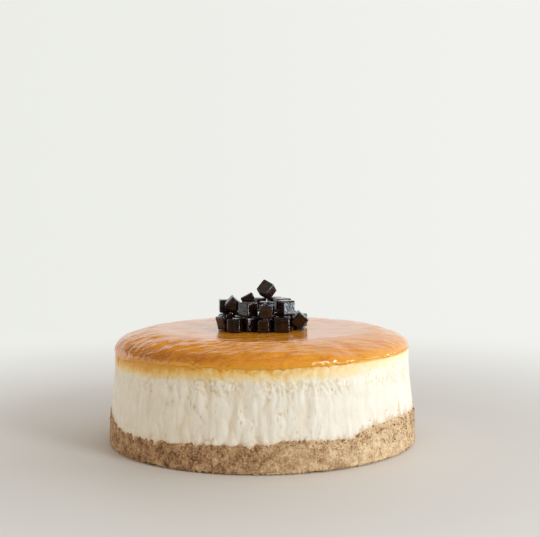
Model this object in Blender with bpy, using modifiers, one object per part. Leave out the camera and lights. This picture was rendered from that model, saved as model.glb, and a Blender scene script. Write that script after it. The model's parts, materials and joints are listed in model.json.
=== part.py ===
"""A whole baked cheesecake: a crumb base, a set filling with a browned top, and a heap of dark jelly cubes.

Metres, +Z up. The origin is on the flat underside, on the cake's axis. The front, as served, faces -Y.
"""

import math
from random import Random

import bmesh
import bpy
from mathutils import Euler, Matrix, Vector, noise

MM = 0.001

# The cake was set in a 15 cm ring: it stands a little wider at the foot than at the shoulder.
FOOT_RADIUS = 76.3 * MM
SHOULDER_RADIUS = 73.0 * MM
SHOULDER_HEIGHT = 45.7 * MM
DOME_HEIGHT = 56.6 * MM
DOME_POWER = 2.84
SHOULDER_POWER = 2.57
LEVEL_HEIGHT = 54.4 * MM
LEVEL_RISE = 0.8 * MM
LEVEL_SOFTNESS = 0.25 * MM

# The line between crumb base and filling, every 15 degrees from the front round by the right.
BASE_HEIGHTS_MM = (
    13.2, 14.6, 13.2, 17.4, 17.8, 16.8, 15.4, 13.8, 12.8, 14.0, 15.4, 13.8,
    12.6, 13.4, 15.2, 14.4, 12.8, 14.0, 16.4, 15.2, 11.5, 11.3, 11.7, 12.5,
)
BASE_HEIGHT = 14.0 * MM
LAYER_GAP = 0.3 * MM
LEVEL_INSIDE = 0.78
FOOT_CHAMFER = 1.2 * MM

SEGMENTS = 168
SIDE_RINGS = 8
TOP_RINGS = 10
CRUMB_DEPTH = 0.55 * MM
CRUMB_SIZE = 4.5 * MM
SCRAPE_DEPTH = 0.40 * MM
SCRAPE_WIDTH = 7.0 * MM
SCRAPE_STRETCH = 5.0
OUTLINE_WANDER = 0.5 * MM

CUBE_EDGE = 7.0 * MM
CUBE_UNEVEN = 0.03
CUBE_ROUNDING = 0.55 * MM
CUBE_GAP = 0.3 * MM
HEAP_CENTRE = Vector((0.8 * MM, 0.0, 0.0))
CUBE_SEED = 11

# The heap's layers. For each cube: the x and y that it was dropped at, from the heap's centre in millimetres,
# how it is turned about the upright, leant sideways and leant forwards, in degrees, and its size as a share of
# the usual edge. The cubes that show at the front come first in their layer, and a later cube finds its place
# among the earlier ones.
HEAP_LAYERS = (
    (
        (-13.4, -16.6, -14, 0, 0, 0.96),
        (-6.2, -11.8, 28, 0, 0, 0.99),
        (0.8, -16.8, -8, 0, 0, 0.85),
        (9.6, -15.4, -5, 0, 0, 1.07),
        (-18.6, -8.4, 38, -14, 0, 0.98),
        (17.8, -6.6, 8, 42, 0, 0.96),
        (-10.6, -4.4, 10, 0, 0, 1.00),
        (-1.6, -4.8, -20, 0, 0, 1.04),
        (8.4, -6.0, 25, 0, 0, 0.99),
        (-18.8, 1.6, -6, 0, 0, 1.01),
        (-9.8, 3.8, 18, 0, 18, 1.02),
        (-0.4, 4.4, -12, 0, 0, 0.97),
        (8.8, 3.4, 8, 0, 0, 1.05),
        (17.8, 4.4, -24, 0, 0, 0.98),
        (-15.0, 11.0, 32, 0, 0, 1.03),
        (-6.0, 13.2, 4, 0, 0, 0.96),
        (3.4, 13.4, 24, 0, 0, 1.00),
        (12.6, 12.4, -14, 0, 0, 1.04),
    ),
    (
        (-7.2, -12.0, 47, 0, 0, 1.04),
        (2.2, -15.8, -10, 0, 6, 0.92),
        (11.2, -11.2, 32, 0, 0, 1.02),
        (-14.8, -5.6, 12, 43, 0, 0.93),
        (-9.6, -0.2, 4, -27, 0, 0.98),
        (1.4, -4.2, 20, 0, 0, 0.93),
        (-19.0, 2.4, 8, 0, 0, 0.98),
        (9.4, 0.8, 30, 0, 0, 1.03),
        (5.4, 9.0, -10, 0, 0, 0.98),
        (-3.2, 11.8, 36, 0, 0, 1.00),
    ),
    (
        (1.8, -3.4, -35, 39, -19, 0.97),
    ),
)
LAYER_SLACK = 2.2 * MM
SLIDE_STEP = 0.4 * MM
SLIDE_RINGS = 16
SLIDE_WAYS = 16


def clear_scene():
    """Empties the file of its objects."""
    for obj in list(bpy.data.objects):
        bpy.data.objects.remove(obj)


def material(name, colour, roughness, metallic=0.0):
    """A plain Principled finish in the part's own colour."""
    made = bpy.data.materials.new(name)
    made.use_nodes = True
    shader = made.node_tree.nodes["Principled BSDF"]
    shader.inputs["Base Color"].default_value = (*colour, 1.0)
    shader.inputs["Roughness"].default_value = roughness
    shader.inputs["Metallic"].default_value = metallic
    return made


def smooth_step(share):
    """0 below 0, 1 above 1, and an even S between them."""
    share = min(max(share, 0.0), 1.0)
    return share * share * (3.0 - 2.0 * share)


def side_radius(height):
    """The cake's radius on its upright side: widest at the foot, narrowing in an S to the shoulder."""
    slump = 1.0 - smooth_step(height / SHOULDER_HEIGHT)
    return SHOULDER_RADIUS + (FOOT_RADIUS - SHOULDER_RADIUS) * slump


def top_height(radius):
    """The height of the top: a dome that rounds over into the shoulder, cut off by a nearly level face."""
    share = min(radius / SHOULDER_RADIUS, 1.0)
    rise = (1.0 - share**DOME_POWER) ** (1.0 / SHOULDER_POWER)
    dome = SHOULDER_HEIGHT + (DOME_HEIGHT - SHOULDER_HEIGHT) * rise
    level = LEVEL_HEIGHT + LEVEL_RISE * share**2
    lower, apart = min(dome, level), abs(dome - level)
    return lower - LEVEL_SOFTNESS * math.log1p(math.exp(-apart / LEVEL_SOFTNESS))


def base_height(angle):
    """The crumb base's height at the side: the readings joined by a smooth closed curve."""
    turn = (angle / math.tau) % 1.0 * len(BASE_HEIGHTS_MM)
    before = int(turn)
    share = smooth_step(turn - before)
    here = BASE_HEIGHTS_MM[before % len(BASE_HEIGHTS_MM)]
    after = BASE_HEIGHTS_MM[(before + 1) % len(BASE_HEIGHTS_MM)]
    return (here + (after - here) * share) * MM


def angle_from_front(point):
    """The angle round the axis, 0 at the front (-Y) and growing to the right (+X)."""
    return math.atan2(point.x, -point.y)


def layer_line(point):
    """The top of the crumb base under or over a point: level inside, uneven near the side."""
    share = math.hypot(point.x, point.y) / side_radius(BASE_HEIGHT)
    near_side = smooth_step((share - LEVEL_INSIDE) / (1.0 - LEVEL_INSIDE))
    return BASE_HEIGHT + (base_height(angle_from_front(point)) - BASE_HEIGHT) * near_side


def outline_wander(point):
    """A slow in-and-out of the whole outline, so that the cake isn't a true circle."""
    angle = angle_from_front(point)
    return OUTLINE_WANDER * noise.noise(Vector((math.cos(angle), math.sin(angle), 0.4)) * 1.7)


def crumb_relief(point):
    """Lumps of crumb on the base's side, fading out to the flat underside."""
    lump = noise.noise(point / CRUMB_SIZE)
    return CRUMB_DEPTH * lump * smooth_step(point.z / (2.0 * FOOT_CHAMFER))


def scrape_relief(point):
    """Upright streaks that the ring left in the filling's side, shallow under the shoulder."""
    streak = Vector((point.x, point.y, point.z / SCRAPE_STRETCH)) / SCRAPE_WIDTH
    fade = smooth_step((SHOULDER_HEIGHT - point.z) / (12.0 * MM))
    return SCRAPE_DEPTH * noise.noise(streak) * fade


def turned(name, profile):
    """A solid turned about Z from a profile of (radius, height), listed down its outer side."""
    outline = bpy.data.meshes.new(name)
    edges = [(i, i + 1) for i in range(len(profile) - 1)]
    outline.from_pydata([(radius, 0.0, height) for radius, height in profile], edges, [])
    obj = bpy.data.objects.new(name, outline)
    bpy.context.scene.collection.objects.link(obj)
    screw = obj.modifiers.new("turn", "SCREW")
    screw.steps = screw.render_steps = SEGMENTS
    screw.use_merge_vertices = True
    screw.merge_threshold = 0.01 * MM
    graph = bpy.context.evaluated_depsgraph_get()
    solid = bpy.data.meshes.new_from_object(obj.evaluated_get(graph))
    obj.modifiers.clear()
    obj.data = solid
    bpy.data.meshes.remove(outline)
    solid.name = name
    return obj


def push_out(point, distance):
    """The point moved away from the Z axis."""
    radius = math.hypot(point.x, point.y)
    if radius < 1.0 * MM:
        return point.copy()
    grown = (radius + distance) / radius
    return Vector((point.x * grown, point.y * grown, point.z))


def reshape(obj, rule):
    """Moves every vertex as the rule says."""
    for vertex in obj.data.vertices:
        vertex.co = rule(vertex.co.copy())
    obj.data.update()


def near_rim(point):
    """1 at the side and 0 well inside, so that relief of the side dies away across the flat faces."""
    share = math.hypot(point.x, point.y) / side_radius(point.z)
    return smooth_step((share - LEVEL_INSIDE) / (1.0 - LEVEL_INSIDE))


def steps(start, end, count):
    """Evenly spaced values from start to end, both included."""
    return [start + (end - start) * i / count for i in range(count + 1)]


def layer_rings():
    """The radii of the rings that both faces of the layer line share, from the rim inwards."""
    rim = side_radius(BASE_HEIGHT)
    return [rim, 0.90 * rim, LEVEL_INSIDE * rim, 0.0]


def crumb_base():
    """The pressed crumb base: flat below, rough at the side, its top following the layer line."""
    side = [(side_radius(z), z) for z in steps(BASE_HEIGHT, FOOT_CHAMFER, SIDE_RINGS)]
    top = [(r, BASE_HEIGHT) for r in reversed(layer_rings()[1:])]
    foot = [(FOOT_RADIUS - FOOT_CHAMFER, 0.0), (0.6 * FOOT_RADIUS, 0.0), (0.0, 0.0)]
    obj = turned("crumb_base", top + side + foot)

    def rule(point):
        relief = outline_wander(point) + crumb_relief(point)
        height = point.z / BASE_HEIGHT * (layer_line(point) - LAYER_GAP)
        moved = push_out(point, relief * near_rim(point))
        return Vector((moved.x, moved.y, height))

    reshape(obj, rule)
    return obj


def filling():
    """The set filling: foot on the layer line, streaked side, rounded shoulder and a nearly level top."""
    top = [
        (SHOULDER_RADIUS * math.sin(turn), top_height(SHOULDER_RADIUS * math.sin(turn)))
        for turn in steps(0.0, math.pi / 2.0, TOP_RINGS)
    ]
    side = [(side_radius(z), z) for z in steps(SHOULDER_HEIGHT, BASE_HEIGHT, SIDE_RINGS)[1:]]
    foot = [(r, BASE_HEIGHT) for r in layer_rings()[1:]]
    obj = turned("filling", top + side + foot)

    def rule(point):
        relief = outline_wander(point) + scrape_relief(point)
        share = (SHOULDER_HEIGHT - point.z) / (SHOULDER_HEIGHT - BASE_HEIGHT)
        lift = (layer_line(point) - BASE_HEIGHT) * min(max(share, 0.0), 1.0)
        moved = push_out(point, relief * near_rim(point))
        return Vector((moved.x, moved.y, point.z + lift))

    reshape(obj, rule)
    return obj


class Cube:
    """One jelly cube: the box inside its rounding, at its place on the heap."""

    def __init__(self, name, placement, draw):
        x, y, turn, sideways, forwards, size = placement
        self.name = name
        uneven = [1.0 + draw.uniform(-CUBE_UNEVEN, CUBE_UNEVEN) for _ in range(3)]
        self.edges = Vector(uneven) * (CUBE_EDGE * size)
        self.half = self.edges / 2.0 - Vector((CUBE_ROUNDING,) * 3)
        self.centre = HEAP_CENTRE + Vector((x * MM, y * MM, 0.0))
        self.turned = (
            Matrix.Rotation(math.radians(sideways), 3, "Y")
            @ Matrix.Rotation(math.radians(forwards), 3, "X")
            @ Matrix.Rotation(math.radians(turn), 3, "Z")
        )
        self.axes = [self.turned.col[i].normalized() for i in range(3)]

    def reach(self, direction):
        """How far the inner box reaches along a direction from its centre."""
        return sum(half * abs(axis.dot(direction)) for half, axis in zip(self.half, self.axes))

    def corners(self):
        """The eight corners of the inner box."""
        signs = [Vector((a, b, c)) for a in (-1, 1) for b in (-1, 1) for c in (-1, 1)]
        return [self.centre + self.turned @ (self.half * sign) for sign in signs]

    def lift_onto_cake(self):
        """How far to rise so that the lowest corner clears the cake's top."""
        room = CUBE_ROUNDING + CUBE_GAP
        return max(top_height(math.hypot(p.x, p.y)) + room - p.z for p in self.corners())

    def lift_over(self, other):
        """How far to rise so that this cube, coming down from above, stops just clear of the other one.

        On each separating axis of two boxes the rises that leave them too close are one interval. They
        block each other only where all those intervals meet, and the cube stops at the top of that.
        """
        low, high = -math.inf, math.inf
        tests = self.axes + other.axes + [a.cross(b) for a in self.axes for b in other.axes]
        for axis in tests:
            if axis.length < 1e-6:
                continue
            axis = axis.normalized()
            room = self.reach(axis) + other.reach(axis) + 2.0 * CUBE_ROUNDING + CUBE_GAP
            apart = (self.centre - other.centre).dot(axis)
            if abs(axis.z) < 1e-6:
                if abs(apart) >= room:
                    return -math.inf
                continue
            ends = sorted(((-room - apart) / axis.z, (room - apart) / axis.z))
            low, high = max(low, ends[0]), min(high, ends[1])
        return high if high > low else -math.inf

    def foot(self):
        """The height of the cube's lowest point."""
        return min(point.z for point in self.corners()) - CUBE_ROUNDING

    def rest_on(self, place, earlier):
        """Drops the cube at a place, onto the cake and the cubes that lie there already."""
        self.centre = place.copy()
        rises = [self.lift_onto_cake()] + [self.lift_over(other) for other in earlier]
        self.centre.z += max(rises)

    def settle(self, earlier, highest_foot):
        """Finds the nearest place to the wanted one where the cube comes to rest low enough."""
        wanted = self.centre.copy()
        for ring in range(SLIDE_RINGS + 1):
            for way in range(SLIDE_WAYS):
                turn = math.tau * way / SLIDE_WAYS
                slide = Vector((math.cos(turn), math.sin(turn), 0.0)) * ring * SLIDE_STEP
                self.rest_on(wanted + slide, earlier)
                if self.foot() <= highest_foot:
                    return
        raise ValueError(f"{self.name} finds no place low enough")

    def build(self, parent):
        """The cube as an object with rounded edges, placed by its location and rotation."""
        mesh = bpy.data.meshes.new(self.name)
        shape = bmesh.new()
        bmesh.ops.create_cube(shape, size=1.0, matrix=Matrix.Diagonal((*self.edges, 1.0)))
        shape.to_mesh(mesh)
        shape.free()
        obj = bpy.data.objects.new(self.name, mesh)
        bpy.context.scene.collection.objects.link(obj)
        obj.parent = parent
        obj.location = self.centre - parent.location
        obj.rotation_euler = self.turned.to_euler()
        rounding = obj.modifiers.new("rounding", "BEVEL")
        rounding.width = CUBE_ROUNDING
        rounding.segments = 1
        return obj


def heap():
    """All the jelly cubes, each dropped on the ones before it, parented to an empty at the heap's centre."""
    middle = bpy.data.objects.new("heap_centre", None)
    bpy.context.scene.collection.objects.link(middle)
    middle.location = (HEAP_CENTRE.x, HEAP_CENTRE.y, top_height(0.0))
    draw = Random(CUBE_SEED)
    laid = []
    for layer, placements in enumerate(HEAP_LAYERS):
        floor = LEVEL_HEIGHT + layer * (CUBE_EDGE * (1.0 + CUBE_UNEVEN) + CUBE_GAP)
        for placement in placements:
            cube = Cube(f"jelly_cube_{len(laid) + 1:02d}", placement, draw)
            cube.settle(laid, floor + LAYER_SLACK)
            laid.append(cube)
    objects = [cube.build(middle) for cube in laid]
    return middle, objects


def gather(name, objects):
    """Moves the objects into a collection of that name."""
    group = bpy.data.collections.new(name)
    bpy.context.scene.collection.children.link(group)
    for obj in objects:
        for old in list(obj.users_collection):
            old.objects.unlink(obj)
        group.objects.link(obj)


def finish(obj, surface, sharp_above=40.0):
    """Gives an object its material and shades its rounded faces smooth."""
    obj.data.materials.clear()
    obj.data.materials.append(surface)
    obj.data.shade_smooth()
    obj.data.set_sharp_from_angle(angle=math.radians(sharp_above))


def main():
    clear_scene()
    base, cream = crumb_base(), filling()
    middle, cubes = heap()
    finish(base, material("baked_crumb", (0.45, 0.30, 0.18), 0.9))
    finish(cream, material("set_cream", (0.88, 0.80, 0.64), 0.5))
    jelly = material("dark_jelly", (0.03, 0.015, 0.01), 0.15)
    for cube in cubes:
        finish(cube, jelly)
    gather("baked_cheesecake", [base, cream, middle, *cubes])


main()
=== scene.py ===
"""The looks of a whole baked cheesecake with a heap of dark jelly cubes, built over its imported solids.

Lengths are in metres. Angles go round the upright axis, 0 at the front (-Y) and growing to the right (+X).
"""

from __future__ import annotations

import json
import logging
import math
from dataclasses import dataclass, field
from enum import Enum

import bpy
import numpy as np
from mathutils import Matrix

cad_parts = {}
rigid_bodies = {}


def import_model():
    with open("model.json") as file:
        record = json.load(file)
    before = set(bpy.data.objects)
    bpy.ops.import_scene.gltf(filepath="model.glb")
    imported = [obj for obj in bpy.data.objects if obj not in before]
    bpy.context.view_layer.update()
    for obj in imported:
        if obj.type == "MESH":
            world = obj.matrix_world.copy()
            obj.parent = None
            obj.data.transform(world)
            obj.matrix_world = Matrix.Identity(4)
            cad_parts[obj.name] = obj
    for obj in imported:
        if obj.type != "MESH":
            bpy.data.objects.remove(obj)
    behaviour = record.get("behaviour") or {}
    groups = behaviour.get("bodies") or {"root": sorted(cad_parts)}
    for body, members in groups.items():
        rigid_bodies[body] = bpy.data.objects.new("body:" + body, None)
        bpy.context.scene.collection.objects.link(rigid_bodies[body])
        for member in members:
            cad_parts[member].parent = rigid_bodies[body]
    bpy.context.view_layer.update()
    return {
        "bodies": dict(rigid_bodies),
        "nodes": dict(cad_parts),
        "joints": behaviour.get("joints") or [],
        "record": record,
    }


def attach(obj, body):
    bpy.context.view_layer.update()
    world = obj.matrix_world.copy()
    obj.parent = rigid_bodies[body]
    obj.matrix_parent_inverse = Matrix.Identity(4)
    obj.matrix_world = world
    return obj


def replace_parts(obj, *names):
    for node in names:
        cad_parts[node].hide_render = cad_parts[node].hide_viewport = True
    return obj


LOG = logging.getLogger("cheesecake")
MM = 0.001
TURN = 2.0 * math.pi
STROKE_TURN = math.radians(22.0)
PLAIN_HEIGHT = 14.0 * MM
LAYER_GAP = 0.3 * MM
BALL_REACH = 1.12
Colour = tuple[float, float, float]
Readings = tuple[tuple[float, float], ...]


def smooth_step(low: float | np.ndarray, high: float | np.ndarray, value: np.ndarray) -> np.ndarray:
    """An even S from 0 at low to 1 at high.

    Args:
        low: The value where the S starts.
        high: The value where it ends.
        value: What it is worked out for.

    Returns:
        The S, of the shape of value.
    """
    share = np.clip((value - low) / (high - low), 0.0, 1.0)
    return share * share * (3.0 - 2.0 * share)


def round_axis(radius: np.ndarray, height: np.ndarray, angle: np.ndarray) -> np.ndarray:
    """Points from cylinder measures: (r sin a, -r cos a, z).

    Args:
        radius: Distance from the upright axis.
        height: Height over the underside.
        angle: Angle from the front.

    Returns:
        An array with a last axis of three.
    """
    radius, height, angle = np.broadcast_arrays(radius, height, angle)
    return np.stack([radius * np.sin(angle), -radius * np.cos(angle), height], axis=-1)


def column_angles(columns: int) -> np.ndarray:
    """Even angles once round, the first one at the front."""
    return np.arange(columns) * TURN / columns


def way_round(angle: np.ndarray, degrees: float) -> np.ndarray:
    """The short way round to each angle from one in degrees, negative to its left."""
    return (angle - math.radians(degrees) + np.pi) % TURN - np.pi


def joined_readings(angle: np.ndarray, readings: Readings) -> np.ndarray:
    """Heights at angles, from pairs of degrees and millimetres joined by straight lines round the cake."""
    degrees, heights = np.array(readings).T
    return np.interp(angle % TURN, np.radians(degrees) % TURN, heights * MM, period=TURN)


def rotated(x: np.ndarray, y: np.ndarray, turn: float) -> tuple[np.ndarray, np.ndarray]:
    """Places along and across a way that is turned from +X: x cos + y sin, and y cos - x sin."""
    return x * math.cos(turn) + y * math.sin(turn), y * math.cos(turn) - x * math.sin(turn)


class Noise:
    """Smooth random fields over numpy points, the same on every run."""

    def __init__(self, seed: int) -> None:
        """Draws the tables of one field.

        Args:
            seed: Which field it is.
        """
        draw = np.random.default_rng(seed)
        self.order = draw.permutation(256)
        slopes = draw.normal(size=(256, 3))
        self.slopes = slopes / np.linalg.norm(slopes, axis=1, keepdims=True)
        self.seeds = draw.random((256, 3))
        self.values = draw.random(256)

    def _pick(self, cell: np.ndarray) -> np.ndarray:
        """The table row of each lattice cell: its three numbers, shuffled one into the next."""
        cell = cell & 255
        return self.order[(self.order[(self.order[cell[..., 0]] + cell[..., 1]) & 255] + cell[..., 2]) & 255]

    def smooth(self, points: np.ndarray, size: float | tuple[float, ...]) -> np.ndarray:
        """Slope noise: each lattice corner's random slope times the way to it, mixed by the quintic S.

        Args:
            points: Where it is wanted, with a last axis of three.
            size: The lattice's spacing, one for all or one for each axis.

        Returns:
            Values of about -1 to 1.
        """
        scaled = points / np.asarray(size)
        cell = np.floor(scaled).astype(int)
        inside = scaled - cell
        fade = inside**3 * (inside * (inside * 6.0 - 15.0) + 10.0)
        total = np.zeros(points.shape[:-1])
        for corner in np.ndindex(2, 2, 2):
            step = np.array(corner)
            share = np.prod(np.where(step == 1, fade, 1.0 - fade), axis=-1)
            total += share * np.sum((inside - step) * self.slopes[self._pick(cell + step)], axis=-1)
        return total * 1.7

    def cells(self, points: np.ndarray, size: float | tuple[float, ...]) -> tuple[np.ndarray, np.ndarray]:
        """Cell noise: how far the nearest of the scattered seeds is, one seed to a lattice cell.

        Args:
            points: Where it is wanted, with a last axis of three.
            size: The lattice's spacing, one for all or one for each axis.

        Returns:
            The distance as a share of the spacing, and a random value of 0 to 1 for each seed.
        """
        scaled = points / np.asarray(size)
        cell = np.floor(scaled).astype(int)
        nearest, value = np.full(points.shape[:-1], 9.0), np.zeros(points.shape[:-1])
        for corner in np.ndindex(3, 3, 3):
            spot = cell + np.array(corner) - 1
            pick = self._pick(spot)
            apart = np.linalg.norm(scaled - spot - self.seeds[pick], axis=-1)
            closer = apart < nearest
            nearest = np.where(closer, apart, nearest)
            value = np.where(closer, self.values[pick], value)
        return nearest, value


@dataclass
class Surface:
    """A mesh in the making: points, four-sided and three-sided faces, and marks for the finish to read."""

    points: np.ndarray
    quads: np.ndarray
    triangles: np.ndarray
    marks: dict[str, np.ndarray] = field(default_factory=dict)

    def make(self, name: str, finish: bpy.types.Material) -> bpy.types.Object:
        """Puts the arrays into an object at the origin.

        Args:
            name: The piece's name.
            finish: Its material.

        Returns:
            The piece, linked to the scene and smooth shaded.
        """
        mesh = bpy.data.meshes.new(name)
        mesh.vertices.add(len(self.points))
        mesh.vertices.foreach_set("co", self.points.astype(np.float32).ravel())
        corners = np.concatenate([self.quads.ravel(), self.triangles.ravel()]).astype(np.int32)
        starts = np.concatenate(
            [np.arange(len(self.quads)) * 4, self.quads.size + np.arange(len(self.triangles)) * 3]
        ).astype(np.int32)
        mesh.loops.add(len(corners))
        mesh.loops.foreach_set("vertex_index", corners)
        mesh.polygons.add(len(starts))
        mesh.polygons.foreach_set("loop_start", starts)
        mesh.update(calc_edges=True)
        mesh.validate()
        mesh.shade_smooth()
        for mark, values in self.marks.items():
            layer = mesh.attributes.new(mark, "FLOAT", "POINT")
            layer.data.foreach_set("value", values.astype(np.float32).ravel())
        mesh.materials.append(finish)
        made = bpy.data.objects.new(name, mesh)
        bpy.context.scene.collection.objects.link(made)
        return made


def turned_surface(rings: np.ndarray, foot: float, crown: float, marks: dict[str, np.ndarray]) -> Surface:
    """A closed skin round the axis, its rings listed from the underside's middle up to the top's middle.

    Args:
        rings: Points of shape (rings, columns, 3).
        foot: Height of the pole that closes the first ring.
        crown: Height of the pole that closes the last ring.
        marks: Values of shape (rings, columns) for each mark.

    Returns:
        The surface, faced outwards.
    """
    rows, columns = rings.shape[:2]
    here = np.arange(rows * columns).reshape(rows, columns)
    after = np.roll(here, -1, axis=1)
    quads = np.stack([here[:-1], after[:-1], after[1:], here[1:]], axis=-1).reshape(-1, 4)
    low, high = np.full(columns, rows * columns), np.full(columns, rows * columns + 1)
    fans = np.concatenate(
        [np.stack([low, after[0], here[0]], axis=-1), np.stack([high, here[-1], after[-1]], axis=-1)]
    )
    points = np.concatenate([rings.reshape(-1, 3), [[0.0, 0.0, foot], [0.0, 0.0, crown]]])
    closed = {
        mark: np.concatenate([values.ravel(), [values[0].mean(), values[-1].mean()]])
        for mark, values in marks.items()
    }
    return Surface(points, quads, fans, closed)


@dataclass(frozen=True)
class CakeForm:
    """The turned form that the solids share."""

    foot_radius: float = 76.3 * MM
    shoulder_radius: float = 73.0 * MM
    shoulder_height: float = 45.7 * MM
    dome_height: float = 56.6 * MM
    dome_power: float = 2.84
    shoulder_power: float = 2.57
    level_height: float = 54.4 * MM
    level_rise: float = 0.8 * MM
    level_softness: float = 0.25 * MM

    def side_radius(self, height: np.ndarray) -> np.ndarray:
        """Radius of the upright side: an even S from the foot in to the shoulder."""
        slump = 1.0 - smooth_step(0.0, self.shoulder_height, height)
        return self.shoulder_radius + (self.foot_radius - self.shoulder_radius) * slump

    def top_height(self, radius: np.ndarray) -> np.ndarray:
        """Height of the top: the lower of a dome and a nearly level face, with a soft turn between them."""
        share = np.minimum(radius / self.shoulder_radius, 1.0)
        rise = (1.0 - share**self.dome_power) ** (1.0 / self.shoulder_power)
        dome = self.shoulder_height + (self.dome_height - self.shoulder_height) * rise
        level = self.level_height + self.level_rise * share**2
        apart = np.abs(dome - level) / self.level_softness
        return np.minimum(dome, level) - self.level_softness * np.log1p(np.exp(-apart))


class Outline:
    """The cake's half section by arc length: 0 where the side meets the shoulder, negative down the side."""

    def __init__(self, form: CakeForm) -> None:
        """Walks the section from the foot to the middle of the top.

        Args:
            form: The cake's form.
        """
        side = np.linspace(0.0, form.shoulder_height, 400)
        top = form.shoulder_radius * np.sin(np.linspace(0.5 * np.pi, 0.0, 1600)[1:])
        self.radius = np.concatenate([form.side_radius(side), top])
        self.height = np.concatenate([side, form.top_height(top)])
        steps = np.hypot(np.diff(self.radius), np.diff(self.height))
        self.arc = np.concatenate([[0.0], np.cumsum(steps)])
        self.arc -= self.arc[len(side) - 1]
        self.out_r = np.gradient(self.height, self.arc)
        self.out_z = -np.gradient(self.radius, self.arc)

    @property
    def end(self) -> float:
        """Arc length at the middle of the top."""
        return float(self.arc[-1])

    def at(self, arc: np.ndarray, proud: np.ndarray | float = 0.0) -> tuple[np.ndarray, np.ndarray]:
        """Radius and height at an arc length, moved out along the section's own outward direction.

        Args:
            arc: Where on the section.
            proud: How far out of it.

        Returns:
            The radius and the height.
        """
        radius = np.interp(arc, self.arc, self.radius) + np.interp(arc, self.arc, self.out_r) * proud
        height = np.interp(arc, self.arc, self.height) + np.interp(arc, self.arc, self.out_z) * proud
        return np.maximum(radius, 0.0), height


class Value:
    """One output socket of a node tree. Arithmetic on it adds Math nodes."""

    def __init__(self, tree: Tree, socket: bpy.types.NodeSocket) -> None:
        """Keeps the socket and the tree that it is in."""
        self.tree = tree
        self.socket = socket

    def _math(self, operation: str, first: Value | float, second: Value | float) -> Value:
        """A Math node of that operation."""
        return self.tree.node("ShaderNodeMath", {"operation": operation}, {0: first, 1: second})

    def __add__(self, other: Value | float) -> Value:
        """Sum."""
        return self._math("ADD", self, other)

    def __sub__(self, other: Value | float) -> Value:
        """Difference."""
        return self._math("SUBTRACT", self, other)

    def __rsub__(self, other: float) -> Value:
        """Difference, with the number first."""
        return self._math("SUBTRACT", other, self)

    def __mul__(self, other: Value | float) -> Value:
        """Product."""
        return self._math("MULTIPLY", self, other)

    def most(self, other: Value | float) -> Value:
        """The larger of the two."""
        return self._math("MAXIMUM", self, other)

    def least(self, other: Value | float) -> Value:
        """The smaller of the two."""
        return self._math("MINIMUM", self, other)

    def fraction(self) -> Value:
        """What is left over the whole number below."""
        return self._math("FRACT", self, 0.0)

    def smooth(self, low: float, high: float) -> Value:
        """An even S from 0 at low to 1 at high."""
        settings = {"interpolation_type": "SMOOTHSTEP"}
        return self.tree.node("ShaderNodeMapRange", settings, {0: self, 1: low, 2: high, 3: 0.0, 4: 1.0})


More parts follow.
